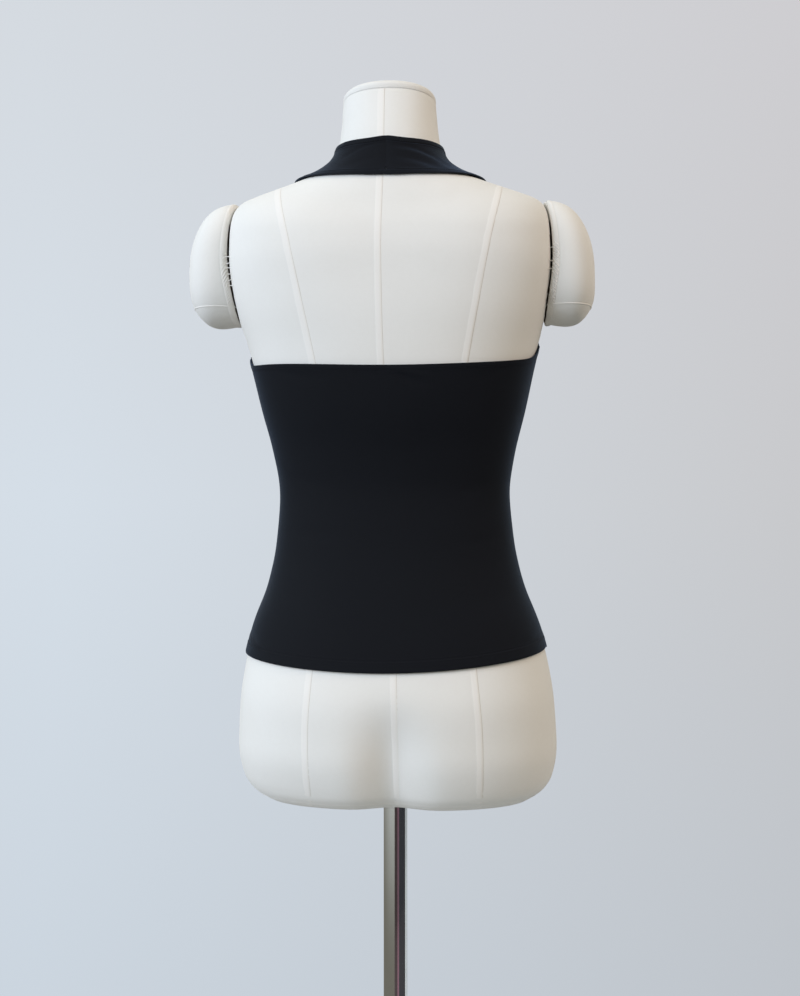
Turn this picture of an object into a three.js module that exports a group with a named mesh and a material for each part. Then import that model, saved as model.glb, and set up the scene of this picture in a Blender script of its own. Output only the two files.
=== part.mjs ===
// A black jersey halter neck top, worn by a limbless dress form on a chrome pole with a round base.
// Millimetres, +Z up. The origin is on the floor, on the pole's axis. The front faces -Y and the
// form's left side is +X. Heights in the tables are measured from the waist.
import * as THREE from "three";

// ---------------------------------------------------------------- driving dimensions
const WAIST_HEIGHT = 980; // waist above the floor
const CLOTH_CLEARANCE = 1.5; // air between the form and the cloth
const CLOTH_WALL = 1.4; // thickness of the jersey
const SEAM_GAP = 0.3; // between two pieces at a seam
const SEAT_GAP = 0.3; // between two hard pieces that bear on each other
const ARM_CAP_SEAT_GAP = 0.9; // between a shoulder cap and the form's side

const FORM_COLUMNS = 48;
const FORM_RING_SPACING = 27;
const FRONT_COLUMNS = 12; // from centre front to the side seam
const FRONT_STEPS_PER_SECTION = 2;
const BACK_COLUMNS = 24; // from side seam to side seam

const POLE_RADIUS = 12.5;
const POLE_SEGMENTS = 24;
const BASE_SEGMENTS = 48;
const BASE = { radius: 190, edge: 5, crown: 9, rimRound: 2 };
// The base's socket for the pole stands on a flared foot.
const SOCKET = {
  radius: 24,
  top: 62,
  rimRound: 2,
  footRadius: 38,
  flareRadius: 27,
  flareTop: 12,
  neckTop: 21,
};

// The form is a little out of true: its sections shift to its left above this level, and to its
// right below it, by this share of their height.
const LEAN = { share: 0.0133, level: -58 };

// Level: height of a section at the side. Front and back reach that height, or the one named here,
// so that the sections above the chest climb from the breastbone to the shoulder and the neck.
const FORM_SECTIONS = [
  { level: -324, side: 139, front: 74, frontLevel: -324, back: 84, backLevel: -324, square: 0.05 },
  { level: -315, side: 152.5, front: 84, frontLevel: -315, back: 97, backLevel: -315, square: 0.06 },
  { level: -299, side: 163.5, front: 90, frontLevel: -299, back: 106, backLevel: -299, square: 0.07 },
  { level: -270, side: 168.5, front: 94, frontLevel: -270, back: 114, backLevel: -270, square: 0.08 },
  { level: -224, side: 166.5, front: 97, frontLevel: -224, back: 116, backLevel: -224, square: 0.08 },
  { level: -180, side: 160, front: 100, frontLevel: -180, back: 109, backLevel: -180, square: 0.07 },
  { level: -141, side: 149.7, front: 100, frontLevel: -141, back: 98, backLevel: -141, square: 0.06 },
  { level: -100, side: 134, front: 96, frontLevel: -100, back: 85, backLevel: -100, square: 0.05 },
  { level: -55, side: 124.2, front: 90, frontLevel: -55, back: 73, backLevel: -55, square: 0.05 },
  { level: -2, side: 120, front: 86, frontLevel: -2, back: 67, backLevel: -2, square: 0.05 },
  { level: 38, side: 125.8, front: 89, frontLevel: 38, back: 72, backLevel: 38, square: 0.05 },
  { level: 85, side: 137.6, front: 97, frontLevel: 85, back: 83, backLevel: 85, square: 0.06 },
  { level: 143, side: 151, front: 104, frontLevel: 143, back: 92, backLevel: 143, square: 0.08 },
  { level: 196, side: 165.5, front: 97, frontLevel: 196, back: 97, backLevel: 196, square: 0.12 },
  { level: 242, side: 170.5, front: 86, frontLevel: 238, back: 98, backLevel: 240, square: 0.15 },
  { level: 271, side: 169.5, front: 76, frontLevel: 261, back: 95, backLevel: 264, square: 0.15 },
  { level: 293, side: 166, front: 69, frontLevel: 277, back: 90.5, backLevel: 280, square: 0.12 },
  { level: 304.5, side: 158, front: 64.5, frontLevel: 287, back: 86.5, backLevel: 291.5, square: 0.08 },
  { level: 314.5, side: 132, front: 60.5, frontLevel: 297, back: 82, backLevel: 305, square: 0.05 },
  { level: 323.5, side: 102, front: 57.5, frontLevel: 307.5, back: 76, backLevel: 319.5, square: 0.04 },
  { level: 332, side: 79.5, front: 55.5, frontLevel: 316, back: 70, backLevel: 331.5, square: 0.03 },
  { level: 342, side: 64.5, front: 54.5, frontLevel: 325, back: 64.5, backLevel: 344.5, square: 0.03 },
  { level: 352, side: 58, front: 54.5, frontLevel: 333, back: 61, backLevel: 354, square: 0.03 },
  { level: 363.5, side: 54.5, front: 55, frontLevel: 343, back: 58.5, backLevel: 364, square: 0.03 },
  { level: 385, side: 51.5, front: 57.5, frontLevel: 367, back: 50.5, backLevel: 387, square: 0.02 },
  { level: 412, side: 49.5, front: 63, frontLevel: 398.14, back: 37, backLevel: 420.14, square: 0.02 },
];
// Two soft rounds at the front, and the shallow hollow at the back of the form below the hips.
const BUST = { level: 150, offset: 82, reach: 23, width: 58, above: 52, below: 40, fullWhenFacing: 0.8 };
const SEAT_HOLLOW = { depth: 18, width: 27, from: -195, to: -285 };

// The form is pared flat from front to back where a shoulder cap is tied on, between these levels.
const ARMHOLE = { from: 168, flatFrom: 190, flatTo: 290, to: 302, pared: 0.985 };

// The shoulder cap's outline: over the face towards the form, then section by section away from it.
const ARM_CAP_SECTIONS = [
  { x: 166.9, top: 245, bottom: 234, halfDepth: 4 },
  { x: 166.9, top: 264, bottom: 215, halfDepth: 18 },
  { x: 166.9, top: 283, bottom: 197, halfDepth: 32 },
  { x: 166.9, top: 299, bottom: 181, halfDepth: 45.5 },
  { x: 169, top: 304, bottom: 177.5, halfDepth: 49.5 },
  { x: 175, top: 306, bottom: 176, halfDepth: 52 },
  { x: 186, top: 301.5, bottom: 174.5, halfDepth: 53 },
  { x: 196.5, top: 292, bottom: 176.5, halfDepth: 50.5 },
  { x: 204.5, top: 279, bottom: 183, halfDepth: 45 },
  { x: 210.3, top: 264, bottom: 191.5, halfDepth: 37 },
  { x: 213.5, top: 248, bottom: 199.5, halfDepth: 26 },
  { x: 214.5, top: 234, bottom: 207, halfDepth: 13 },
];
const ARM_CAP_COLUMNS = 24;
const ARM_CAP_SQUARE = 0.07;

// Rise of the padded lid over the neck, as a share of the way in from its edge.
const NECK_CAP_PROFILE = [
  { inward: 0, rise: 0 },
  { inward: 0, rise: 3.5 },
  { inward: 0.025, rise: 6.5 },
  { inward: 0.09, rise: 9.5 },
  { inward: 0.22, rise: 12 },
  { inward: 0.45, rise: 14 },
  { inward: 0.72, rise: 15 },
];

// How far the cloth sits low on the left, and high on the right.
const SKEW = { hemLevel: -174, hem: 2.8, underarmLevel: 147, underarm: 4.8, endLevel: 260 };

// Back panel: its hem dips at the centre. Its top edge bows up towards the sides, and curls up
// sharply at each underarm.
const BACK_PANEL = { hem: -167.5, hemDip: 14.8, rows: 15 };
const BACK_TOP = { centre: 126.2, bow: 9, curl: 10.3, curlSharpness: 28 };

// Front panel and strap: a row for each section from the hem to the back of the neck. inner is the
// centre front, then the neckline; outer is the side seam, then the armhole edge. Turns are degrees
// from centre front: 90 is the side and 180 the centre back.
const FRONT_SECTIONS = [
  { at: "hem", innerTurn: 0, innerLevel: -178, outerTurn: 90, outerLevel: -167.5 },
  { at: "hip", innerTurn: 0, innerLevel: -118, outerTurn: 90, outerLevel: -116 },
  { at: "below waist", innerTurn: 0, innerLevel: -60, outerTurn: 90, outerLevel: -60 },
  { at: "waist", innerTurn: 0, innerLevel: -2, outerTurn: 90, outerLevel: -2 },
  { at: "ribs", innerTurn: 0, innerLevel: 55, outerTurn: 90, outerLevel: 50 },
  { at: "under bust", innerTurn: 0, innerLevel: 105, outerTurn: 90, outerLevel: 98 },
  { at: "underarm", innerTurn: 0, innerLevel: 146, outerTurn: 90, outerLevel: 145.5 },
  { at: "armhole corner", innerTurn: 0, innerLevel: 166, outerTurn: 77, outerLevel: 154 },
  { at: "neckline point", innerTurn: 0, innerLevel: 186, outerTurn: 62, outerLevel: 169 },
  { at: "chest", innerTurn: 4.8, innerLevel: 226, outerTurn: 44, outerLevel: 208 },
  { at: "upper chest", innerTurn: 8.7, innerLevel: 266, outerTurn: 35.5, outerLevel: 272 },
  { at: "collarbone", innerTurn: 12.7, innerLevel: 304, outerTurn: 36, outerLevel: 294 },
  { at: "below shoulder", innerTurn: 34, innerLevel: 334, outerTurn: 45, outerLevel: 312 },
  { at: "near shoulder", innerTurn: 59, innerLevel: 354, outerTurn: 66, outerLevel: 321 },
  { at: "shoulder", innerTurn: 90, innerLevel: 361.5, outerTurn: 90, outerLevel: 323.5 },
  { at: "behind shoulder", innerTurn: 121, innerLevel: 358.5, outerTurn: 121, outerLevel: 323.5 },
  { at: "nape", innerTurn: 151, innerLevel: 359.5, outerTurn: 151, outerLevel: 323.5 },
  { at: "centre back neck", innerTurn: 180, innerLevel: 363, outerTurn: 180, outerLevel: 323.5 },
];
// ---------------------------------------------------------------- smooth curves through tables
// A curve through the rows of a table that never overshoots them (monotone cubic).
function curveThrough(rows, key, column) {
  const at = rows.map((row) => row[key]);
  const value = rows.map((row) => row[column]);
  const chords = at.slice(1).map((end, i) => (value[i + 1] - value[i]) / (end - at[i]));
  const slopes = at.map((_, i) => {
    if (i === 0) return chords[0];
    if (i === at.length - 1) return chords[i - 1];
    const before = chords[i - 1];
    const after = chords[i];
    return before * after <= 0 ? 0 : (2 * before * after) / (before + after);
  });
  return (where) => {
    const inside = THREE.MathUtils.clamp(where, at[0], at[at.length - 1]);
    let i = 0;
    while (i < at.length - 2 && inside > at[i + 1]) i += 1;
    const span = at[i + 1] - at[i];
    const t = (inside - at[i]) / span;
    const start = value[i] * (1 + 2 * t) + slopes[i] * span * t;
    const end = value[i + 1] * (3 - 2 * t) - slopes[i + 1] * span * (1 - t);
    return start * (1 - t) ** 2 + end * t ** 2;
  };
}

const FORM_CURVES = {};
for (const column of ["side", "front", "frontLevel", "back", "backLevel", "square"]) {
  FORM_CURVES[column] = curveThrough(FORM_SECTIONS, "level", column);
}

// ---------------------------------------------------------------- the form's surface
// turn is in radians from centre front towards the left side. Taut gives the surface that stretched
// cloth takes: it bridges from one round to the other, and over the hollow at the seat.
function formPoint(turn, level, taut = false) {
  const across = Math.sin(turn);
  const forward = Math.cos(turn);
  const square = 1 + FORM_CURVES.square(level) * Math.sin(2 * turn) ** 2;
  const front = FORM_CURVES.front(level);
  const back = FORM_CURVES.back(level);
  const x = FORM_CURVES.side(level) * across * square;
  let y = -forward * square * (forward > 0 ? front : back);

  const tilt = (FORM_CURVES.backLevel(level) - FORM_CURVES.frontLevel(level)) / (front + back);
  const sag = FORM_CURVES.backLevel(level) - level - tilt * back;
  const z = level + tilt * y + sag * forward ** 2;

  if (forward > 0) {
    const from = taut ? Math.max(Math.abs(x), BUST.offset) : Math.abs(x);
    const roundness = Math.exp(-(((from - BUST.offset) / BUST.width) ** 2));
    const height = (level - BUST.level) / (level > BUST.level ? BUST.above : BUST.below);
    const facing = THREE.MathUtils.smoothstep(forward, 0, BUST.fullWhenFacing);
    y -= BUST.reach * roundness * Math.exp(-(height ** 2)) * facing;
  } else if (!taut) {
    const low = THREE.MathUtils.smoothstep(-level, -SEAT_HOLLOW.from, -SEAT_HOLLOW.to);
    y -= SEAT_HOLLOW.depth * low * Math.exp(-((x / SEAT_HOLLOW.width) ** 2));
  }
  const limit = paredSide(level);
  const sideways = THREE.MathUtils.clamp(x, -limit, limit) + leanAt(z);
  return new THREE.Vector3(sideways, y, z + WAIST_HEIGHT);
}

function leanAt(height) {
  return LEAN.share * (height - LEAN.level);
}

// How far the form reaches sideways, with its sides pared flat for the shoulder caps.
function paredSide(level) {
  const above = THREE.MathUtils.smoothstep(level, ARMHOLE.from, ARMHOLE.flatFrom);
  const below = 1 - THREE.MathUtils.smoothstep(level, ARMHOLE.flatTo, ARMHOLE.to);
  return FORM_CURVES.side(level) * (1 - (1 - ARMHOLE.pared) * above * below);
}

// Outward direction of the taut surface, from its slopes over a small turn and a small rise.
function outward(turn, level) {
  const smallTurn = 0.02;
  const smallRise = 1;
  const around = formPoint(turn + smallTurn, level, true).sub(formPoint(turn - smallTurn, level, true));
  const upward = formPoint(turn, level + smallRise, true).sub(formPoint(turn, level - smallRise, true));
  return around.cross(upward).normalize();
}

// The cloth's two faces at one place. The top sits a little askew on the form: lower on its left.
function clothPoints(turn, straightLevel) {
  const level = straightLevel - Math.sin(turn) * clothSkew(straightLevel);
  const normal = outward(turn, level);
  const base = formPoint(turn, level, true);
  return {
    inner: base.clone().addScaledVector(normal, CLOTH_CLEARANCE),
    outer: base.clone().addScaledVector(normal, CLOTH_CLEARANCE + CLOTH_WALL),
  };
}

function clothSkew(level) {
  const height = THREE.MathUtils.smoothstep(level, SKEW.hemLevel, SKEW.underarmLevel);
  const fade = 1 - THREE.MathUtils.smoothstep(level, SKEW.underarmLevel, SKEW.endLevel);
  return THREE.MathUtils.lerp(SKEW.hem, SKEW.underarm, height) * fade;
}

// The turn that covers half a seam gap at this place, on the cloth's outer face.
function halfSeamTurn(turn, level) {
  const smallTurn = 0.01;
  const before = clothPoints(turn - smallTurn, level).outer;
  const after = clothPoints(turn + smallTurn, level).outer;
  return (SEAM_GAP / 2) * ((2 * smallTurn) / before.distanceTo(after));
}

// ---------------------------------------------------------------- solids from points
function signedVolume(points, triangles) {
  let volume = 0;
  for (const [a, b, c] of triangles) {
    volume += points[a].dot(points[b].clone().cross(points[c])) / 6;
  }
  return volume;
}

// A closed geometry whose faces point outwards.
function solid(points, triangles) {
  const inward = signedVolume(points, triangles) < 0;
  const outwardTriangles = triangles.map(([a, b, c]) => (inward ? [a, c, b] : [a, b, c]));
  const geometry = new THREE.BufferGeometry().setFromPoints(points);
  geometry.setIndex(outwardTriangles.flat());
  geometry.computeVertexNormals();
  return geometry;
}

// A four-sided face, split along the diagonal that stands out (bulge 1) or lies deeper (bulge -1),
// so that the cloth's facets keep clear of the form's.
function splitFace(points, [a, b, c, d], bulge) {
  const first = points[c].clone().sub(points[a]);
  const second = points[d].clone().sub(points[b]);
  const normal = first.clone().cross(second);
  const between = points[a].clone().add(points[c]).sub(points[b]).sub(points[d]);
  const firstStandsOut = between.dot(normal) > 0;
  return firstStandsOut === bulge > 0 ? [[a, b, c], [a, c, d]] : [[a, b, d], [b, c, d]];
}

// Rings with as many points each, skinned one to the next, and closed at both ends by a fan.
function loft(rings) {
  const columns = rings[0].length;
  const points = rings.flat();
  const triangles = [];
  for (let row = 0; row < rings.length - 1; row += 1) {
    for (let column = 0; column < columns; column += 1) {
      const a = row * columns + column;
      const b = row * columns + ((column + 1) % columns);
      triangles.push(...splitFace(points, [a, b, b + columns, a + columns], -1));
    }
  }
  for (const end of [0, rings.length - 1]) {
    const centre = points.length;
    const ring = rings[end];
    points.push(ring.reduce((sum, point) => sum.add(point), new THREE.Vector3()).divideScalar(columns));
    for (let column = 0; column < columns; column += 1) {
      const a = end * columns + column;
      const b = end * columns + ((column + 1) % columns);
      triangles.push(end === 0 ? [b, a, centre] : [a, b, centre]);
    }
  }
  return solid(points, triangles);
}

// A wall of cloth from grids of points that each have an inner and an outer face. Grids that meet
// at shared points are one piece. Every free edge is closed from face to face.
function clothWall(grids) {
  const places = [];
  const known = new Map();
  const place = (point) => {
    const name = point.outer.toArray().map((value) => value.toFixed(3)).join(" ");
    if (!known.has(name)) {
      known.set(name, places.length);
      places.push(point);
    }
    return known.get(name);
  };
  const quads = [];
  for (const grid of grids) {
    for (let row = 0; row < grid.length - 1; row += 1) {
      for (let column = 0; column < grid[row].length - 1; column += 1) {
        const [lower, upper] = [grid[row], grid[row + 1]];
        const corners = [lower[column], lower[column + 1], upper[column + 1], upper[column]];
        quads.push(corners.map(place));
      }
    }
  }
  const count = places.length;
  const points = [...places.map((point) => point.outer), ...places.map((point) => point.inner)];
  const triangles = [];
  const edges = new Map();
  for (const [a, b, c, d] of quads) {
    for (const [i, j, k] of splitFace(points, [a, b, c, d], 1)) {
      triangles.push([i, j, k], [i + count, k + count, j + count]);
    }
    for (const [from, to] of [[a, b], [b, c], [c, d], [d, a]]) {
      if (edges.has(`${to} ${from}`)) edges.delete(`${to} ${from}`);
      else edges.set(`${from} ${to}`, [from, to]);
    }
  }
  for (const [from, to] of edges.values()) {
    triangles.push([from, from + count, to + count], [from, to + count, to]);
  }
  return solid(points, triangles);
}

// ---------------------------------------------------------------- dress form
// Levels of the form's rings: every section, and places between them where the curve is long.
function formLevels() {
  const levels = [];
  FORM_SECTIONS.forEach(({ level }, i) => {
    levels.push(level);
    const next = FORM_SECTIONS[i + 1];
    if (!next) return;
    const steps = 1 + Math.round((next.level - level) / FORM_RING_SPACING);
    for (let step = 1; step < steps; step += 1) {
      levels.push(level + ((next.level - level) * step) / steps);
    }
  });
  return levels;
}

function ringAt(level) {
  const ring = [];
  for (let column = 0; column < FORM_COLUMNS; column += 1) {
    ring.push(formPoint((column / FORM_COLUMNS) * 2 * Math.PI, level));
  }
  return ring;
}

function formBody() {
  return loft(formLevels().map(ringAt));
}

// The padded lid follows the tilted top of the neck.
function neckCap() {
  const top = FORM_SECTIONS[FORM_SECTIONS.length - 1].level;
  const edge = ringAt(top);
  const centre = edge.reduce((sum, point) => sum.add(point), new THREE.Vector3()).divideScalar(edge.length);
  const rings = NECK_CAP_PROFILE.map(({ inward, rise }) =>
    edge.map((point) => {
      const moved = point.clone().lerp(centre, inward);
      moved.z += SEAT_GAP + rise;
      return moved;
    }),
  );
  return loft(rings);
}

// side is 1 for the left cap and -1 for the right one. The face towards the form follows the form's
// side, and that bend fades out towards the cap's outer face.
function armCap(side) {
  const nearest = ARM_CAP_SECTIONS[0].x;
  const reach = ARM_CAP_SECTIONS[ARM_CAP_SECTIONS.length - 1].x - nearest;
  const rings = ARM_CAP_SECTIONS.map(({ x, top, bottom, halfDepth }) => {
    const ring = [];
    for (let column = 0; column < ARM_CAP_COLUMNS; column += 1) {
      const angle = (column / ARM_CAP_COLUMNS) * 2 * Math.PI;
      const square = 1 + ARM_CAP_SQUARE * Math.sin(2 * angle) ** 2;
      const height = (top + bottom) / 2 + ((top - bottom) / 2) * Math.sin(angle) * square;
      const seat = paredSide(height) + ARM_CAP_SEAT_GAP - nearest;
      const follow = (1 - (x - nearest) / reach) ** 2;
      const depth = halfDepth * Math.cos(angle) * square;
      const sideways = side * (x + seat * follow) + leanAt(height);
      ring.push(new THREE.Vector3(sideways, depth, height + WAIST_HEIGHT));
    }
    return side > 0 ? ring : ring.reverse();
  });
  return loft(rings);
}

// ---------------------------------------------------------------- garment
// The askew top sags only near its sides, so the middle of the back's top edge is evened out.
function backTopLevel(turn) {
  const across = Math.sin(turn);
  const curl = BACK_TOP.curl * Math.abs(across) ** BACK_TOP.curlSharpness;
  const evened = SKEW.underarm * (across - across ** 5);
  return BACK_TOP.centre + BACK_TOP.bow * across ** 2 + curl + evened;
}

function backPanel() {
  const grid = [];
  for (let row = 0; row <= BACK_PANEL.rows; row += 1) {
    const line = [];
    for (let column = 0; column <= BACK_COLUMNS; column += 1) {
      const turn = Math.PI / 2 + (column / BACK_COLUMNS) * Math.PI;
      const hem = BACK_PANEL.hem - BACK_PANEL.hemDip * Math.cos(turn) ** 2;
      const level = THREE.MathUtils.lerp(hem, backTopLevel(turn), row / BACK_PANEL.rows);
      const inset = column === 0 ? 1 : column === BACK_COLUMNS ? -1 : 0;
      line.push(clothPoints(turn + inset * halfSeamTurn(turn, level), level));
    }
    grid.push(line);
  }
  return clothWall([grid]);
}

// Half of the front panel with its strap. side is 1 for the left half and -1 for the right half.
function frontHalf(side) {
  const rowsAt = FRONT_SECTIONS.map((section, i) => ({ ...section, row: i }));
  const curves = {};
  for (const column of ["innerTurn", "innerLevel", "outerTurn", "outerLevel"]) {
    curves[column] = curveThrough(rowsAt, "row", column);
  }
  const underarm = FRONT_SECTIONS.findIndex((section) => section.at === "underarm");
  const last = FRONT_SECTIONS.length - 1;
  const grid = [];
  for (let step = 0; step <= last * FRONT_STEPS_PER_SECTION; step += 1) {
    const row = step / FRONT_STEPS_PER_SECTION;
    const line = [];
    for (let column = 0; column <= FRONT_COLUMNS; column += 1) {
      const across = column / FRONT_COLUMNS;
      const degrees = THREE.MathUtils.lerp(curves.innerTurn(row), curves.outerTurn(row), across);
      const share = row <= underarm ? across ** 2 : across;
      const level = THREE.MathUtils.lerp(curves.innerLevel(row), curves.outerLevel(row), share);
      const turn = THREE.MathUtils.degToRad(degrees);
      const atSideSeam = column === FRONT_COLUMNS && row <= underarm;
      const inset = atSideSeam || row === last ? halfSeamTurn(turn, level) : 0;
      line.push(clothPoints(side * (turn - inset), level));
    }
    grid.push(side > 0 ? line : line.reverse());
  }
  return grid;
}

// Both halves share the centre front up to the neckline's point.
function frontPanel() {
  return clothWall([frontHalf(1), frontHalf(-1)]);
}

// ---------------------------------------------------------------- stand
function turned(profile, segments) {
  const points = profile.map(([radius, height]) => new THREE.Vector2(radius, height));
  const geometry = new THREE.LatheGeometry(points, segments);
  geometry.rotateX(Math.PI / 2);
  return geometry;
}

function standBase() {
  const { radius, edge, crown, rimRound } = BASE;
  const bore = POLE_RADIUS + SEAT_GAP;
  return turned([
    [0, 0],
    [radius - rimRound, 0],
    [radius, rimRound],
    [radius, edge - rimRound],
    [radius - rimRound, edge],
    [SOCKET.footRadius, crown],
    [SOCKET.flareRadius, SOCKET.flareTop],
    [SOCKET.radius, SOCKET.neckTop],
    [SOCKET.radius, SOCKET.top - SOCKET.rimRound],
    [SOCKET.radius - SOCKET.rimRound, SOCKET.top],
    [bore, SOCKET.top],
    [bore, crown],
    [0, crown],
  ], BASE_SEGMENTS);
}

function standPole() {
  const bottom = BASE.crown + SEAT_GAP;
  const top = WAIST_HEIGHT + FORM_SECTIONS[0].level - SEAT_GAP;
  return turned([
    [0, bottom],
    [POLE_RADIUS, bottom],
    [POLE_RADIUS, top],
    [0, top],
  ], POLE_SEGMENTS);
}

// ---------------------------------------------------------------- materials and the group
function surface(name, color, roughness, metalness) {
  return new THREE.MeshStandardMaterial({ name, color, roughness, metalness });
}

const JERSEY = surface("jersey", 0x14161b, 0.85, 0);
const CANVAS = surface("canvas", 0xe6e0d6, 0.9, 0);
const CHROME = surface("chrome", 0xc9ccd0, 0.12, 1);

function named(name, geometry, material) {
  const mesh = new THREE.Mesh(geometry, material);
  mesh.name = name;
  return mesh;
}

const garment = new THREE.Group();
garment.add(named("front", frontPanel(), JERSEY));
garment.add(named("back", backPanel(), JERSEY));

const form = new THREE.Group();
form.add(named("form_body", formBody(), CANVAS));
form.add(named("neck_cap", neckCap(), CANVAS));
form.add(named("arm_cap_left", armCap(1), CANVAS));
form.add(named("arm_cap_right", armCap(-1), CANVAS));

const stand = new THREE.Group();
stand.add(named("pole", standPole(), CHROME));
stand.add(named("base", standBase(), CHROME));

const part = new THREE.Group();
part.add(garment, form, stand);

export default part;
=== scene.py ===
# %% [markdown]
# # A halter neck top on a dress form
#
# The object is a close-fitting black jersey top with a halter neck, worn by a limbless dress form
# that stands on a chrome pole with a round base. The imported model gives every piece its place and
# size. This script gives each piece its surface: the stitched edges and creases of the cloth, the
# seams of the form's cover, the gathered caps at the shoulders and the polished stand.
# Everything is in metres, with +Z up. The front of the top faces -Y.

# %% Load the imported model
import math
from itertools import groupby

import bmesh
import bpy
import numpy as np
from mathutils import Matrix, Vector
from mathutils.bvhtree import BVHTree
from mathutils.kdtree import KDTree


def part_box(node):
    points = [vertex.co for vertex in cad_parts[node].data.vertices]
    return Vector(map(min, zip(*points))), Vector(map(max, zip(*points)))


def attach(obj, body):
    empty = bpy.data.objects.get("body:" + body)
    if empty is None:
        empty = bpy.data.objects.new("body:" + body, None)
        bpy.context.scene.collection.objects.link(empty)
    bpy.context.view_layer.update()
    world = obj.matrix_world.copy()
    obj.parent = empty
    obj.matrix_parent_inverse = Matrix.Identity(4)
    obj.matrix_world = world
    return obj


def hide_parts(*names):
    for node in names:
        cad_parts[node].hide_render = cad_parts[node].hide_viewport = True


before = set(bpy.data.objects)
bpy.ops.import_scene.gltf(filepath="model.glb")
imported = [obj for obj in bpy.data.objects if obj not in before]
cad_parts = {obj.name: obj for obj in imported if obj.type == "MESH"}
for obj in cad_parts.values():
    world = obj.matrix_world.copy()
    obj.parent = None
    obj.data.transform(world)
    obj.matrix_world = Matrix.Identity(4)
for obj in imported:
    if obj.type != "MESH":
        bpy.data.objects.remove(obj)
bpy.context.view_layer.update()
MM = 0.001
TAU = 2 * math.pi
WAIST = 0.980  # height of the waist above the floor
LEAN_SHARE = 0.0133
LEAN_FROM = WAIST - 0.058


def leaning(height):
    """How far the form has shifted to its left at a height: it is a little out of true."""
    return LEAN_SHARE * (height - LEAN_FROM)


print("nodes:", sorted(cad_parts))

# %% [markdown]
# ## The camera
#
# The top is seen from behind, almost square on, at chest height and from about a metre and a half.
# The camera is placed by its turn round the pole, its distance, its height and a small sidestep, so
# that each can be changed alone. It looks level, which keeps the pole upright.

# %% Place the camera
VIEW_TURN = math.radians(183.5)  # round the pole, from the front
VIEW_DISTANCE = 1.48
VIEW_HEIGHT = 0.972
VIEW_SIDESTEP = 4.9 * MM
LENS = 50

towards_camera = Vector((math.sin(VIEW_TURN), -math.cos(VIEW_TURN), 0))
camera_right = Vector((math.cos(VIEW_TURN), math.sin(VIEW_TURN), 0))
camera = bpy.data.objects.new("camera", bpy.data.cameras.new("camera"))
camera.data.lens = LENS
camera.location = towards_camera * VIEW_DISTANCE + camera_right * VIEW_SIDESTEP
camera.location.z = VIEW_HEIGHT
camera.rotation_euler = (-towards_camera).to_track_quat("-Z", "Y").to_euler()
bpy.context.scene.collection.objects.link(camera)
bpy.context.scene.camera = camera
print("camera at", [round(value, 3) for value in camera.location])

# %% [markdown]
# ## Working by hand in a script
#
# Blender's operators act on whatever is selected, so each step first selects one object alone.
# These helpers do that, apply a modifier at once, and record each finished piece's surface and body.

# %% Helpers for selecting and applying
SIDES = (("left", 1), ("right", -1))
SMOOTH_BELOW = math.radians(40)
FAN_EDGES = 8  # a point with more edges than this is the middle of a lofted end


def select_only(piece):
    """Selects one object and makes it active, with nothing else selected."""
    if bpy.context.object and bpy.context.object.mode != "OBJECT":
        bpy.ops.object.mode_set(mode="OBJECT")
    bpy.ops.object.select_all(action="DESELECT")
    piece.select_set(True)
    bpy.context.view_layer.objects.active = piece


def apply_modifier(piece, kind, **settings):
    """Adds a modifier, gives it its settings and applies it."""
    select_only(piece)
    modifier = piece.modifiers.new(kind.title(), kind)
    for name, value in settings.items():
        setattr(modifier, name, value)
    bpy.ops.object.modifier_apply(modifier=modifier.name)


def subdivide_through(piece, levels, rounds=3):
    """Subdivides a mesh smoothly, after swelling it so that the smooth surface keeps its points."""
    wanted = [vert.co.copy() for vert in piece.data.vertices]
    probe = piece.modifiers.new("Probe", "SUBSURF")
    probe.levels = probe.render_levels = levels
    for _ in range(rounds):
        shrunk = piece.evaluated_get(bpy.context.evaluated_depsgraph_get()).data.vertices
        shortfall = [place - shrunk[i].co for i, place in enumerate(wanted)]
        for vert, gap in zip(piece.data.vertices, shortfall):
            vert.co += gap
        piece.data.update()
        bpy.context.view_layer.update()
    piece.modifiers.remove(probe)
    apply_modifier(piece, "SUBSURF", levels=levels, render_levels=levels)


def crease_ends(piece):
    """Keeps the rim of each end of a lofted piece sharp, where a fan of triangles closes it."""
    mesh = bmesh.new()
    mesh.from_mesh(piece.data)
    sharp = mesh.edges.layers.float.new("crease_edge")
    for vert in mesh.verts:
        if len(vert.link_edges) > FAN_EDGES:
            rim = {edge for face in vert.link_faces for edge in face.edges if vert not in edge.verts}
            for edge in rim:
                edge[sharp] = 1.0
    mesh.to_mesh(piece.data)
    mesh.free()


def settle(piece):
    """Applies an object's place, turn and scale to its mesh."""
    select_only(piece)
    bpy.ops.object.transform_apply(location=True, rotation=True, scale=True)


def added(name, operator, **settings):
    """Adds a primitive at its size and place."""
    bpy.ops.object.select_all(action="DESELECT")
    operator(**settings)
    piece = bpy.context.object
    piece.name = name
    settle(piece)
    return piece


def joined(name, pieces):
    """Joins pieces into the first one."""
    select_only(pieces[0])
    for piece in pieces[1:]:
        piece.select_set(True)
    bpy.ops.object.join()
    pieces[0].name = name
    return pieces[0]


def piece_from(name, mesh):
    """Puts a bmesh into the scene as a piece."""
    data = bpy.data.meshes.new(name)
    mesh.to_mesh(data)
    mesh.free()
    piece = bpy.data.objects.new(name, data)
    bpy.context.scene.collection.objects.link(piece)
    return piece


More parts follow.
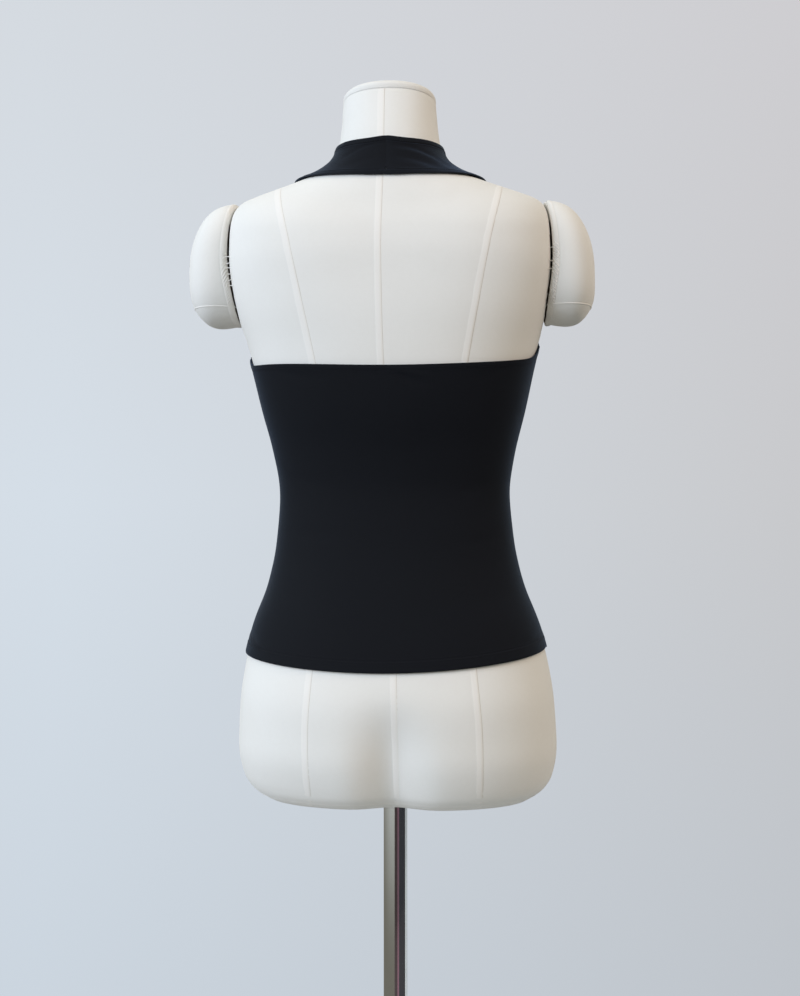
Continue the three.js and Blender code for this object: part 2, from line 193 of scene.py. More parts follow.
def finished(piece, material, replaced=()):
    """Gives a piece its finish, smooth shading and its body, and prints its size."""
    if material:
        piece.data.materials.clear()
        piece.data.materials.append(material)
    select_only(piece)
    bpy.ops.object.shade_smooth_by_angle(angle=SMOOTH_BELOW)
    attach(piece, "root")
    if replaced:
        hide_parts(*replaced)
    piece.data.calc_loop_triangles()
    print(f"{piece.name}: {len(piece.data.loop_triangles)} triangles")


# %% [markdown]
# ## Node finishes written as sums
#
# A finish is mostly arithmetic on coordinates. `Wire` wraps one socket, so that Python's own
# operators add the Math nodes, and `Finish` holds the nodes, with one method that adds any of them.


# %% Wires and finishes
class Wire:
    """An output socket that takes part in Python sums."""

    def __init__(self, finish, socket):
        self.finish = finish
        self.socket = socket

    def math(self, operation, other=0.0):
        return self.finish.node("ShaderNodeMath", {"operation": operation}, {0: self, 1: other})

    def __add__(self, other):
        return self.math("ADD", other)

    def __mul__(self, other):
        return self.math("MULTIPLY", other)

    def __sub__(self, other):
        return self.math("SUBTRACT", other)

    def __rsub__(self, other):
        return self * -1 + other

    def __truediv__(self, other):
        return self.math("DIVIDE", other)

    __radd__ = __add__
    __rmul__ = __mul__


class Finish:
    """A material or the world, its shader, and one way to add any other node."""

    def __init__(self, name, sockets, world=None):
        self.material = world or bpy.data.materials.new(name)
        self.material.use_nodes = True
        self.tree = self.material.node_tree
        self.shader = self.tree.nodes["Background" if world else "Principled BSDF"]
        self.feed(self.shader, sockets)

    def feed(self, node, sockets):
        for name, value in sockets.items():
            if isinstance(value, Wire):
                self.tree.links.new(value.socket, node.inputs[name])
            else:
                node.inputs[name].default_value = value

    def node(self, kind, settings=None, sockets=None, output=0):
        node = self.tree.nodes.new(kind)
        for name, value in (settings or {}).items():
            if name == "stops":
                self.set_stops(node.color_ramp, value)
            else:
                setattr(node, name, value)
        self.feed(node, sockets or {})
        return Wire(self, node.outputs[output])

    @staticmethod
    def set_stops(ramp, stops):
        while len(ramp.elements) < len(stops):
            ramp.elements.new(1.0)
        for element, (position, colour) in zip(ramp.elements, stops):
            element.position = position
            element.color = (*colour, 1.0)

    def axes(self, wire):
        """The three numbers of a vector."""
        split = self.tree.nodes.new("ShaderNodeSeparateXYZ")
        self.tree.links.new(wire.socket, split.inputs[0])
        return [Wire(self, socket) for socket in split.outputs]

    def place(self):
        """Object coordinates, in metres in the part's own frame."""
        return self.node("ShaderNodeTexCoord", output="Object")

    def pattern(self, name):
        """A piece's own UV map, in metres on the cloth."""
        return self.node("ShaderNodeUVMap", {"uv_map": name})

    def noise(self, vector, scale, detail=2.0, roughness=0.5):
        sockets = {"Vector": vector, "Scale": scale, "Detail": detail, "Roughness": roughness}
        return self.node("ShaderNodeTexNoise", {}, sockets)

    def mix(self, first, second, factor, blend="MIX"):
        """A Mix node for colours, which are its sockets 6 and 7 and its output 2."""
        settings = {"data_type": "RGBA", "blend_type": blend}
        return self.node("ShaderNodeMix", settings, {"Factor": factor, 6: first, 7: second}, output=2)

    def between(self, low, high, factor):
        """A colour from low to high."""
        return self.mix((*low, 1.0), (*high, 1.0), factor)

    def span(self, value, start, end, low=0.0, high=1.0, kind="LINEAR"):
        """A number that goes from low to high as value goes from start to end."""
        sockets = {0: value, 1: start, 2: end, 3: low, 4: high}
        return self.node("ShaderNodeMapRange", {"interpolation_type": kind}, sockets)

    def bump(self, height, distance, strength=1.0):
        sockets = {"Height": height, "Distance": distance, "Strength": strength}
        self.feed(self.shader, {"Normal": self.node("ShaderNodeBump", {}, sockets)})


# %% [markdown]
# ## Black jersey
#
# The top is a fine single jersey: columns of small V-shaped loops, the wales, about a millimetre
# wide. It is almost black, and its fibres give a faint blue bloom where light grazes it. The loops
# are a bump on the cloth's own flat pattern, so that they run along the cut as knitting does.

# %% Jersey finish
WALE = 1.1 * MM
COURSE = 0.8 * MM
JERSEY_DARK = (0.0026, 0.0029, 0.0041)
JERSEY_LIGHT = (0.0056, 0.0060, 0.0082)


def jersey_finish():
    finish = Finish("black_jersey", {
        "Roughness": 0.8,
        "Specular IOR Level": 0.12,
        "Sheen Weight": 0.19,
        "Sheen Roughness": 0.4,
        "Sheen Tint": (0.42, 0.62, 1.0, 1.0),
    })
    across, along, _ = finish.axes(finish.pattern("knit"))
    in_wale = ((across / WALE).math("FRACT") * 2 - 1).math("ABSOLUTE")
    loops = ((along / COURSE + in_wale * 0.5) * TAU).math("SINE")
    height = (1 - in_wale * in_wale) * (loops * 0.35 + 0.65)
    patches = finish.noise(finish.place(), 14.0, detail=3.0)
    lint = finish.noise(finish.place(), 900.0, detail=1.0)
    # Painted shade: the furrows between the wales are darker. The patches and the lint are the cloth's own
    # tone.
    shade = patches * 0.6 + height * 0.25 + lint * 0.15
    colour = finish.between(JERSEY_DARK, JERSEY_LIGHT, shade)
    finish.feed(finish.shader, {"Base Color": colour, "Roughness": 0.72 + patches * 0.12})
    finish.bump(height, 0.12 * MM, strength=0.6)
    return finish.material


jersey = jersey_finish()
print("finish:", jersey.name)

# %% [markdown]
# ## Canvas
#
# The form is covered in an off-white cotton canvas, a plain weave of threads less than a millimetre
# apart. Height gives the weft and the turn round the form gives the warp, so one finish suits the
# torso and the caps. Slow noise makes the cloth a little warmer in places, as handling does. The low
# points of the weave are painted a little darker: painted shade between the threads.

# %% Canvas finish
THREAD = 1.2 * MM
FORM_RADIUS = 0.14
WARP_THREADS = round(TAU * FORM_RADIUS / THREAD)
CANVAS_CLEAN = (0.80, 0.775, 0.735)
CANVAS_WORN_AND_SHADED = (0.71, 0.675, 0.62)


def weave(finish):
    """Height of a plain weave, from 0 to 1."""
    x, y, z = finish.axes(finish.place())
    turn = x.math("ARCTAN2", y)
    warp = (turn * WARP_THREADS).math("SINE")
    weft = (z * (TAU / THREAD)).math("SINE")
    return warp * weft * 0.5 + 0.5


def canvas_finish(name, clean, worn_and_shaded):
    finish = Finish(name, {
        "Roughness": 0.9,
        "Specular IOR Level": 0.25,
        "Sheen Weight": 0.15,
        "Sheen Roughness": 0.5,
    })
    threads = weave(finish)
    handled = finish.noise(finish.place(), 9.0, detail=4.0)
    slubs = finish.noise(finish.place(), 260.0, detail=2.0)
    # handled is wear at random; the (1 - threads) term is painted shade in the weave's low points.
    shade = handled * 0.7 + slubs * 0.2 + (1 - threads) * 0.22
    colour = finish.between(clean, worn_and_shaded, shade)
    finish.feed(finish.shader, {"Base Color": colour, "Roughness": 0.84 + slubs * 0.1})
    finish.bump(threads + slubs * 0.6, 0.1 * MM, strength=0.5)
    return finish


canvas = canvas_finish("canvas", CANVAS_CLEAN, CANVAS_WORN_AND_SHADED).material
print("warp threads round the form:", WARP_THREADS)

# %% [markdown]
# ## Chrome, thread and the dark shoulder plate
#
# The stand is polished chrome with a little haze from wiping. In the slit beside each cap, the faces of
# the cap and the form that lie close together are painted a streaky dark brown: painted shade between them.

# %% Chrome, thread and painted slit shade finishes
PLY = 0.9 * MM


def chrome_finish():
    finish = Finish("chrome", {"Metallic": 1.0, "Roughness": 0.1})
    stretched = finish.node("ShaderNodeMapping", {}, {"Vector": finish.place(), "Scale": (1, 1, 0.05)})
    wiped = finish.noise(stretched, 60.0, detail=4.0)
    haze = finish.noise(finish.place(), 12.0, detail=3.0)
    finish.feed(finish.shader, {
        "Base Color": finish.between((0.66, 0.67, 0.69), (0.80, 0.81, 0.82), haze),
        "Roughness": 0.05 + wiped * 0.07 + haze * 0.05,
    })
    finish.bump(wiped, 0.01 * MM, strength=0.15)
    return finish.material


def thread_finish(name, dark, light):
    """Twisted thread, whose plies show as slanting bands: a bump, with painted shade in the grooves."""
    finish = Finish(name, {"Roughness": 0.7, "Specular IOR Level": 0.2})
    x, y, z = finish.axes(finish.place())
    plies = ((x + y + z * 1.7) * (TAU / PLY)).math("SINE") * 0.5 + 0.5
    # Painted shade and highlight: the plies' grooves take the dark colour and their crowns the light one.
    finish.feed(finish.shader, {"Base Color": finish.between(dark, light, plies)})
    finish.bump(plies, 0.08 * MM)
    return finish.material


def slit_shade_finish():
    finish = Finish("painted_slit_shade", {"Roughness": 0.7})
    # Painted shade for the slits beside the caps: a streaky dark brown.
    streak_stretch = finish.node("ShaderNodeMapping", {}, {"Vector": finish.place(), "Scale": (1, 8, 1)})
    streaks = finish.noise(streak_stretch, 30.0, detail=5.0)
    colour = finish.between((0.06, 0.038, 0.028), (0.15, 0.10, 0.075), streaks)
    finish.feed(finish.shader, {"Base Color": colour})
    finish.bump(streaks, 0.2 * MM)
    return finish.material


chrome = chrome_finish()
black_thread = thread_finish("black_thread", (0.003, 0.0035, 0.005), (0.012, 0.013, 0.017))
cream_thread = thread_finish("cream_thread", (0.62, 0.58, 0.52), (0.84, 0.81, 0.76))
painted_slit_shade = slit_shade_finish()
print("finishes:", len(bpy.data.materials))

# %% [markdown]
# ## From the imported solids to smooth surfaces
#
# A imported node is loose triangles. A copy of it is merged into one mesh, its triangles are joined
# into quads, and a subdivision surface rounds the facets away. The node itself is left alone.


# %% Copy a node
def copy_of(node, name):
    """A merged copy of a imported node, in quads."""
    piece = bpy.data.objects.new(name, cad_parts[node].data.copy())
    bpy.context.scene.collection.objects.link(piece)
    select_only(piece)
    bpy.ops.object.mode_set(mode="EDIT")
    bpy.ops.mesh.select_all(action="SELECT")
    bpy.ops.mesh.remove_doubles(threshold=0.02 * MM)
    bpy.ops.mesh.tris_convert_to_quads(face_threshold=math.radians(60), shape_threshold=math.radians(60))
    bpy.ops.object.mode_set(mode="OBJECT")
    return piece


def surface_of(piece):
    """A search tree of a piece's faces, for casting rays and finding nearest points."""
    mesh = piece.data
    return BVHTree.FromPolygons([v.co for v in mesh.vertices], [f.vertices for f in mesh.polygons])


# %% [markdown]
# ## The torso
#
# The form is a foam torso under a tight canvas cover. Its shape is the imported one.

# %% Make the torso
torso = copy_of("form_body", "torso")
crease_ends(torso)
subdivide_through(torso, 2)
finished(torso, canvas, ["form_body"])
torso_surface = surface_of(torso)

# %% [markdown]
# ## Felled seams
#
# The cover is sewn from long panels. Each seam is pressed to one side and sewn down, which leaves a
# flat ribbon with a fine shadow line along one edge. A seam's route is a short table of heights and
# distances from the middle, which a ray then finds on the form. One function lays a ribbon along any
# route, so the piping of the caps is made with it too.


# %% Routes on a surface
def smooth_rows(rows, steps):
    """Evenly spaced rows through a table's rows, with its corners eased."""
    rows = np.array(rows, float)
    at = np.linspace(0, len(rows) - 1, steps)
    columns = [np.interp(at, range(len(rows)), column) for column in rows.T]
    window = max(3, steps // len(rows)) | 1
    pad = window // 2
    eased = [np.convolve(np.pad(c, pad, mode="reflect", reflect_type="odd"), np.ones(window) / window,
                         mode="valid") for c in columns]
    return np.array(eased).T


def cast(surface, start, aim):
    """The first point on a surface from start towards aim, and its normal."""
    point, normal, _, _ = surface.ray_cast(start, (aim - start).normalized())
    return (point, normal) if point else None


def cast_route(surface, rows, start_of, aim_of):
    """Points and normals where rays from outside meet a surface, one for each row."""
    hits = [cast(surface, start_of(*row), aim_of(*row)) for row in rows]
    return [hit for hit in hits if hit]


# %% Ribbons along routes
def strip_faces(mesh, pattern, rings, us):
    """Quads between rings. A ring is its points and its distance along; us are measured across."""
    for (low, low_run), (high, high_run) in zip(rings, rings[1:]):
        for k, (u, next_u) in enumerate(zip(us, us[1:])):
            face = mesh.faces.new((low[k], high[k], high[k + 1], low[k + 1]))
            corners = ((u, low_run), (u, high_run), (next_u, high_run), (next_u, low_run))
            for loop, corner in zip(face.loops, corners):
                loop[pattern].uv = corner


def ribbon_mesh(name, routes, profile, closed=False):
    """Strips along routes of points and normals. profile has (across, height, u) for each edge."""
    mesh = bmesh.new()
    pattern = mesh.loops.layers.uv.new("ribbon")
    length = 0.0
    for route in routes:
        count = len(route)
        rings = []
        run = 0.0
        for i, (point, normal) in enumerate(route):
            before = route[(i - 1) % count if closed else max(i - 1, 0)][0]
            after = route[(i + 1) % count if closed else min(i + 1, count - 1)][0]
            along = (after - before).normalized()
            across = normal.cross(along).normalized()
            if i:
                run += (point - route[i - 1][0]).length
            ring = [mesh.verts.new(point + across * x + normal * h) for x, h, _ in profile]
            rings.append((ring, run))
        if closed:
            rings.append((rings[0][0], run + (route[0][0] - route[-1][0]).length))
        length += rings[-1][1]
        strip_faces(mesh, pattern, rings, [u for _, _, u in profile])
    return piece_from(name, mesh), length


# %% Finish of the ribbons
FOLDED_CLEAN = (0.828, 0.792, 0.742)
FOLDED_WORN_AND_SHADED = (0.760, 0.716, 0.660)
RIBBON_SHADOW = (0.42, 0.36, 0.30, 1)
RIBBON_SHADOW_SHARE = 0.36
SHADOW_FROM = 0.84  # across the ribbon, where the painted shadow line begins and is full
SHADOW_FULL = 0.92


def ribbon_finish():
    """Canvas that is folded double: a shade lighter, with a painted shadow line on one side."""
    built = canvas_finish("folded_canvas", FOLDED_CLEAN, FOLDED_WORN_AND_SHADED)
    across, _, _ = built.axes(built.pattern("ribbon"))
    # A painted shadow darkens the ribbon's folded edge, where its own drop shades it as well.
    line = built.span(across, SHADOW_FROM, SHADOW_FULL, kind="SMOOTHSTEP")
    colour = Wire(built, built.shader.inputs["Base Color"].links[0].from_socket)
    shaded = built.mix(colour, RIBBON_SHADOW, line * RIBBON_SHADOW_SHARE, blend="MULTIPLY")
    built.feed(built.shader, {"Base Color": shaded})
    return built.material


folded_canvas = ribbon_finish()

# %% Seams of the torso
# Heights and distances in millimetres: above the waist, and from the middle of the leaning form
# towards its left.
CENTRE_BACK = [(419, 6.5), (385, 6.5), (345, 6.5), (300, 7), (246, 8.5), (134, 8), (0, 3), (-110, -1),
               (-205, -3), (-260, -3.5), (-321, -3.5)]
PRINCESS_BACK = [(322, 116), (300, 113), (260, 103), (205, 92), (131, 77), (60, 66), (0, 60), (-80, 68),
                 (-130, 76), (-188, 83), (-248, 88), (-321, 86)]
PRINCESS_FRONT = [(318, 96), (290, 95), (240, 90), (190, 84), (150, 80), (100, 72), (50, 62), (0, 56),
                  (-60, 62), (-130, 72), (-200, 80), (-260, 84), (-321, 82)]
CENTRE_FRONT = [(395, 0), (350, 0), (300, 0), (200, 0), (100, 0), (0, 0), (-150, 0), (-321, 0)]
SIDE = [(165, 6), (120, 4), (60, 0), (0, -2), (-100, 0), (-200, 2), (-321, 2)]
FAR = 0.5
SEAM_STEPS = 120
SEAM_WIDTH = 7 * MM
SEAM_RISE = 0.2 * MM
# Across the ribbon, from the edge that melts into the cover to the folded edge and its shadow line.
SEAM_PROFILE = [
    (-SEAM_WIDTH * 0.5, -0.12 * MM, 0.0),
    (-SEAM_WIDTH * 0.38, SEAM_RISE * 0.3, 0.12),
    (-SEAM_WIDTH * 0.15, SEAM_RISE * 0.7, 0.35),
    (SEAM_WIDTH * 0.2, SEAM_RISE, 0.65),
    (SEAM_WIDTH * 0.45, SEAM_RISE, 0.82),
    (SEAM_WIDTH * 0.5, 0.08 * MM, 0.86),
    (SEAM_WIDTH * 0.58, 0.05 * MM, 0.95),
    (SEAM_WIDTH * 0.62, -0.12 * MM, 1.0),
]


def seam_from(table, direction, mirrored=1):
    """A seam seen from one side of the form. direction points away from the form."""
    def start(height, offset):
        if abs(direction.y) > 0.5:
            place = Vector((mirrored * offset * MM, 0, WAIST + height * MM))
        else:
            place = Vector((0, offset * MM, WAIST + height * MM))
        place.x += leaning(place.z)
        return place + direction * FAR

    def aim(height, offset):
        return start(height, offset) - direction

    return cast_route(torso_surface, smooth_rows(table, SEAM_STEPS), start, aim)


BEHIND = Vector((0, 1, 0))
BEFORE = Vector((0, -1, 0))
LEFT = Vector((1, 0, 0))
seam_routes = [
    seam_from(CENTRE_BACK, BEHIND),
    seam_from(PRINCESS_BACK, BEHIND),
    seam_from(PRINCESS_BACK, BEHIND, mirrored=-1),
    seam_from(PRINCESS_FRONT, BEFORE),
    seam_from(PRINCESS_FRONT, BEFORE, mirrored=-1),
    seam_from(CENTRE_FRONT, BEFORE),
    seam_from(SIDE, LEFT),
    seam_from(SIDE, -LEFT),
]
torso_seams, seam_length = ribbon_mesh("torso_seams", seam_routes, SEAM_PROFILE)
finished(torso_seams, folded_canvas)
print(f"felled seams: {seam_length:.2f} m")

# %% [markdown]
# ## The cover's lower rim, and the neck lid
#
# A fine seam runs round the form just above its lower rim. It is a narrow welt on a closed route,
# found by rays from all round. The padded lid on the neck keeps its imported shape.


# %% Welt round the rim
def ring_route(surface, centre, steps):
    """A closed, level route round a vertical axis through centre."""
    rows = []
    for step in range(steps):
        turn = step / steps * TAU
        out = Vector((math.sin(turn), -math.cos(turn), 0))
        rows.append((centre + out * FAR, centre))
    return cast_route(surface, rows, lambda start, aim: start, lambda start, aim: aim)


def welt_profile(width, rise):
    """A low round ridge whose edges are sunk into the cloth below it."""
    sunk = -0.1 * MM
    return [(-width / 2, sunk, 0.0), (-width / 4, rise * 0.8, 0.25), (0.0, rise, 0.5),
            (width / 4, rise * 0.8, 0.7), (width / 2, sunk, 0.82)]


RIM_SEAM_ABOVE = 6 * MM
form_low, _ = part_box("form_body")
rim_centre = Vector((0, 0, form_low.z + RIM_SEAM_ABOVE))
rim_route = ring_route(torso_surface, rim_centre, 240)
rim_welt, _ = ribbon_mesh("rim_welt", [rim_route], welt_profile(1.2 * MM, 0.22 * MM), closed=True)
finished(rim_welt, folded_canvas)

# %% Neck lid
neck_lid = copy_of("neck_cap", "neck_lid")
crease_ends(neck_lid)
subdivide_through(neck_lid, 2)
finished(neck_lid, canvas, ["neck_cap"])

# %% [markdown]
# ## Shoulder caps
#
# Each cap is a small padded dome tied to the armhole. A gathered strip of canvas runs round its
# inner edge: smooth over the top and drawn into fine pleats lower down. A piped seam closes the
# round end below, and the cap is laced to the form with cream thread.

# %% Caps
CAP_CENTRE_HEIGHT = WAIST + 0.238
CAP_LEAN = leaning(CAP_CENTRE_HEIGHT)
SLIT_SHADE_REACH = 1.9 * MM  # painted shade covers the faces this close to the other body
# no shade is painted above this height, where the slit is narrowest
SLIT_SHADE_TOP = WAIST + 0.278


def arm_cap(side_name):
    cap = copy_of("arm_cap_" + side_name, "shoulder_cap_" + side_name)
    subdivide_through(cap, 2)
    return cap


def paint_slit_shade(piece, others, node):
    """Paints shade, a streaky dark brown, on the faces that lie close to one of the other pieces, and gives
    canvas to the rest.
    """
    surfaces = [surface_of(other) for other in others]
    piece.data.materials.clear()
    piece.data.materials.append(canvas)
    piece.data.materials.append(painted_slit_shade)
    for face in piece.data.polygons:
        gap = min(surface.find_nearest(face.center)[3] for surface in surfaces)
        face.material_index = 1 if gap < SLIT_SHADE_REACH and face.center.z < SLIT_SHADE_TOP else 0
    finished(piece, None, [node])


caps = {side: arm_cap(side) for side, _ in SIDES}
paint_slit_shade(torso, caps.values(), "form_body")
for side, cap in caps.items():
    paint_slit_shade(cap, [torso], "arm_cap_" + side)

# %% The gathered strips
STRIP_WIDTH = 6.5 * MM
STRIP_INSET = 1.7 * MM  # from the form's side to the strip's inner edge
STRIP_NARROWED = 0.4  # share of its width that it loses over the top of the cap
STRIP_REACH = 0.06  # from the cap's centre up or down to the strip
STRIP_LIFT = 0.2 * MM
STRIP_RISE = 0.45 * MM
STRIP_STEPS = 520
STRIP_ROWS = 8
SEARCH_STEP = 0.3 * MM
FOLD_LINE = 0.88  # how far across the ribbon finish the strip reaches, into the start of its painted shadow line
PLEAT_PITCH = 3.3 * MM
PLEAT_DEPTH = {"left": 0.5 * MM, "right": 1.3 * MM}  # the right strip is drawn up tighter
PLEAT_SLANT = 2.4  # pleats crossed by a slanting line across the strip
PLEATS_BELOW = WAIST + 0.266  # the strip is smooth above this height
PLEATS_FULL_IN = 0.03


def pleat_height(depth, run, across, height):
    """Height of the strip's pleats: uneven, strongest at the slit and smooth at the top."""
    drawn = min(1.0, max(0.0, (PLEATS_BELOW - height) / PLEATS_FULL_IN))
    uneven = 1 + 0.4 * math.sin(run / (13 * MM)) + 0.3 * math.sin(run / (4.7 * MM))
    phase = run / PLEAT_PITCH + across * PLEAT_SLANT + 0.5 * math.sin(run / (9 * MM))
    return depth * uneven * math.sin(TAU * phase) * drawn * (1 - 0.55 * across)


def strip_row(surface, aim, out, sign):
    """Where the cap is met in direction out from aim, moved outwards until it is."""
    while not cast(surface, aim + out * FAR, aim):
        aim.x += sign * SEARCH_STEP
    return cast(surface, aim + out * FAR, aim)


def gathered_strip(side_name, sign):
    surface = surface_of(caps[side_name])
    mesh = bmesh.new()
    pattern = mesh.loops.layers.uv.new("ribbon")
    shares = [row / (STRIP_ROWS - 1) for row in range(STRIP_ROWS)]
    rings = []
    run = 0.0
    last = None
    for step in range(STRIP_STEPS):
        turn = step / STRIP_STEPS * TAU
        out = Vector((0, math.cos(turn), math.sin(turn)))
        width = STRIP_WIDTH * (1 - STRIP_NARROWED * max(0.0, out.z) ** 2)
        level = Vector((0, 0, CAP_CENTRE_HEIGHT + STRIP_REACH * out.z))
        side, _ = cast(torso_surface, level + Vector((sign * FAR, 0, 0)), level)
        inner = side.x + sign * STRIP_INSET
        ring = []
        for across in shares:
            aim = Vector((inner + sign * width * across, 0, CAP_CENTRE_HEIGHT))
            point, normal = strip_row(surface, aim, out, sign)
            if not ring:
                run += (point - last).length if last else 0.0
                last = point.copy()
            swell = math.sin(math.pi * across) ** 0.7
            pleat = pleat_height(PLEAT_DEPTH[side_name], run, across, point.z)
            rise = STRIP_RISE * swell + pleat * swell ** 0.5
            ring.append(mesh.verts.new(point + normal * (STRIP_LIFT + rise)))
        rings.append((ring, run))
    rings.append((rings[0][0], run + (rings[0][0][0].co - rings[-1][0][0].co).length))
    strip_faces(mesh, pattern, rings, [share * FOLD_LINE for share in shares])
    mesh.normal_update()
    bmesh.ops.recalc_face_normals(mesh, faces=mesh.faces)
    strip = piece_from("cap_gathers_" + side_name, mesh)
    finished(strip, folded_canvas)


for side_name, sign in SIDES:
    gathered_strip(side_name, sign)

# %% Piped seams at the lower ends of the caps
CAP_END_SEAM = WAIST + 0.193
CAP_MIDDLE = 191 * MM
PIPING_PROFILE = welt_profile(2.0 * MM, 0.5 * MM)
for side_name, sign in SIDES:
    centre = Vector((sign * CAP_MIDDLE + CAP_LEAN, 0, CAP_END_SEAM))
    route = ring_route(surface_of(caps[side_name]), centre, 160)
    piping, _ = ribbon_mesh("cap_piping_" + side_name, [route], PIPING_PROFILE, closed=True)
    finished(piping, folded_canvas)

# %% Lacing across the slit
# Heights of the threads above the waist in millimetres, behind and before, on each side.
LACED = {
    "left": ([213, 219.5, 225, 231, 236.5, 243], [208.5, 213, 220.5, 225, 231.5, 238]),
    "right": ([227, 236, 249.5], [225, 231.5, 238, 242]),
}
LACE_FROM = (195, 160.3)  # height at the slit's lower part, and how far out a thread starts there
LACE_SPREAD = 0.11  # how much further out the higher threads start, for each millimetre of height
LACE_SLOPES = (1.2 * MM, -0.6 * MM, 0.5 * MM)  # the threads slant by these in turn
LACE_LENGTH = 5 * MM
LACE_THICK = 0.8 * MM


def lace(start, end):
    """One thread of the lacing, modelled as a short cylinder from place to place."""
    along = end - start
    return added("thread", bpy.ops.mesh.primitive_cylinder_add, vertices=8, radius=LACE_THICK / 2,
                 depth=along.length, location=(start + end) / 2,
                 rotation=along.to_track_quat("Z", "Y").to_euler())


for side_name, sign in SIDES:
    cap_surface = surface_of(caps[side_name])
    threads = []
    for heights, facing in zip(LACED[side_name], (BEHIND, BEFORE)):
        for i, height in enumerate(heights):
            slope = LACE_SLOPES[i % len(LACE_SLOPES)]
            out = (LACE_FROM[1] + LACE_SPREAD * (height - LACE_FROM[0])) * MM
            inner = Vector((sign * out + CAP_LEAN, 0, WAIST + height * MM))
            outer = inner + Vector((sign * LACE_LENGTH, 0, slope))
            torso_hit = cast(torso_surface, inner + facing * FAR, inner)
            cap_hit = cast(cap_surface, outer + facing * FAR, outer)
            threads.append(lace(torso_hit[0], cap_hit[0]))
    finished(joined("cap_lacing_" + side_name, threads), cream_thread)

# %% [markdown]
# ## The top: pattern pieces
#
# The top has two pieces of cloth, the front with its straps and the back. Each is the outer face of
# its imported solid. It is unwrapped flat first, because the knit runs on the flat cut, and then
# subdivided until creases a few millimetres wide can be modelled in it.


# %% Outer skin, flat pattern and fine mesh
def keep_outer_skin(piece):
    """Deletes all but the faces that look away from the form."""
    mesh = bmesh.new()
    mesh.from_mesh(piece.data)
    mesh.normal_update()
    hidden = []
    for face in mesh.faces:
        centre = face.calc_center_median()
        nearest = torso_surface.find_nearest(centre)[0]
        if face.normal.dot((centre - nearest).normalized()) < 0.6:
            hidden.append(face)
    bmesh.ops.delete(mesh, geom=hidden, context="FACES")
    mesh.to_mesh(piece.data)
    mesh.free()


def lay_flat(piece, pattern="knit"):
    """Unwraps a skin into its flat cut, in metres, with the body's height upwards."""
    select_only(piece)
    while piece.data.uv_layers:
        piece.data.uv_layers.remove(piece.data.uv_layers[0])
    piece.data.uv_layers.new(name=pattern)
    bpy.ops.object.mode_set(mode="EDIT")
    bpy.ops.mesh.select_all(action="SELECT")
    bpy.ops.uv.unwrap(method="ANGLE_BASED", margin=0.0)
    bpy.ops.object.mode_set(mode="OBJECT")
    flat = np.array([loop.uv[:] for loop in piece.data.uv_layers[pattern].data])
    heights = np.array([piece.data.vertices[loop.vertex_index].co.z for loop in piece.data.loops])
    slope = np.linalg.lstsq(np.c_[flat, np.ones(len(flat))], heights, rcond=None)[0][:2]
    up = slope / np.linalg.norm(slope)
    turned = flat @ np.array([[up[1], up[0]], [-up[0], up[1]]])
    flat_area = 0.0
    for face in piece.data.polygons:
        corners = turned[list(face.loop_indices)]
        x, y = corners.T
        flat_area += 0.5 * abs(np.dot(x, np.roll(y, -1)) - np.dot(y, np.roll(x, -1)))
    real_area = sum(face.area for face in piece.data.polygons)
    turned *= math.sqrt(real_area / flat_area)
    turned -= turned.min(0)
    for loop, place in zip(piece.data.uv_layers[pattern].data, turned):
        loop.uv = place
    width, length = turned.max(0)
    print(f"{piece.name}: flat cut {width * 1000:.0f} x {length * 1000:.0f} mm, {real_area:.4f} m2")
    return (float(width), float(length)), real_area


def cloth_skin(node, name, levels):
    piece = copy_of(node, name)
    keep_outer_skin(piece)
    flat, area = lay_flat(piece)
    subdivide_through(piece, levels)
    return piece, flat, area


top_front, front_flat, front_area = cloth_skin("front", "top_front", 2)
top_back, back_flat, back_area = cloth_skin("back", "top_back", 3)

# %% [markdown]
# ## Borders of the cloth
#
# The hem is turned up and stitched, and so are the back's top edge, the neckline and the armholes.
# The outline of each skin is walked once and cut into runs of one kind, so that each run can be
# thickened, grooved and stitched by its distance from the edge.

# %% Name the runs of an outline
HEM_BELOW = WAIST - 0.1635
HEM_SLANT = 2.5 * MM  # the hem hangs lower on the form's left
UNDERARM = WAIST + 0.152
NEAR_SIDE = 1.5 * MM
NEAR_NAPE = 1.0 * MM
BEHIND_NECK = 0.03


def border_kind(point):
    if point.z < HEM_BELOW - math.copysign(HEM_SLANT, point.x):
        return "hem"
    if abs(point.y) < NEAR_SIDE and point.z < UNDERARM:
        return "side seam"
    if abs(point.x - leaning(point.z)) < NEAR_NAPE and point.y > BEHIND_NECK:
        return "nape seam"
    return "edge"


def border_runs(piece):
    """The outline's runs: a list of (kind, points)."""
    mesh = bmesh.new()
    mesh.from_mesh(piece.data)
    step = {}
    for edge in mesh.edges:
        if edge.is_boundary:
            loop = edge.link_loops[0]
            step[loop.vert.index] = loop.link_loop_next.vert.index
    mesh.verts.ensure_lookup_table()
    start = next(iter(step))
    order = [start]
    while step[order[-1]] != start:
        order.append(step[order[-1]])
    points = [mesh.verts[i].co.copy() for i in order]
    mesh.free()
    kinds = [border_kind(point) for point in points]
    first = next(i for i in range(len(kinds)) if kinds[i - 1] != kinds[i])
    points = points[first:] + points[:first]
    kinds = kinds[first:] + kinds[:first]
    grouped = groupby(zip(kinds, points), key=lambda pair: pair[0])
    return [(kind, [point for _, point in pairs]) for kind, pairs in grouped]


front_runs = border_runs(top_front)
back_runs = border_runs(top_back)
print("front:", [(kind, len(points)) for kind, points in front_runs])
print("back:", [(kind, len(points)) for kind, points in back_runs])


# %% Distances from a border
BORDER_PITCH = 0.6 * MM


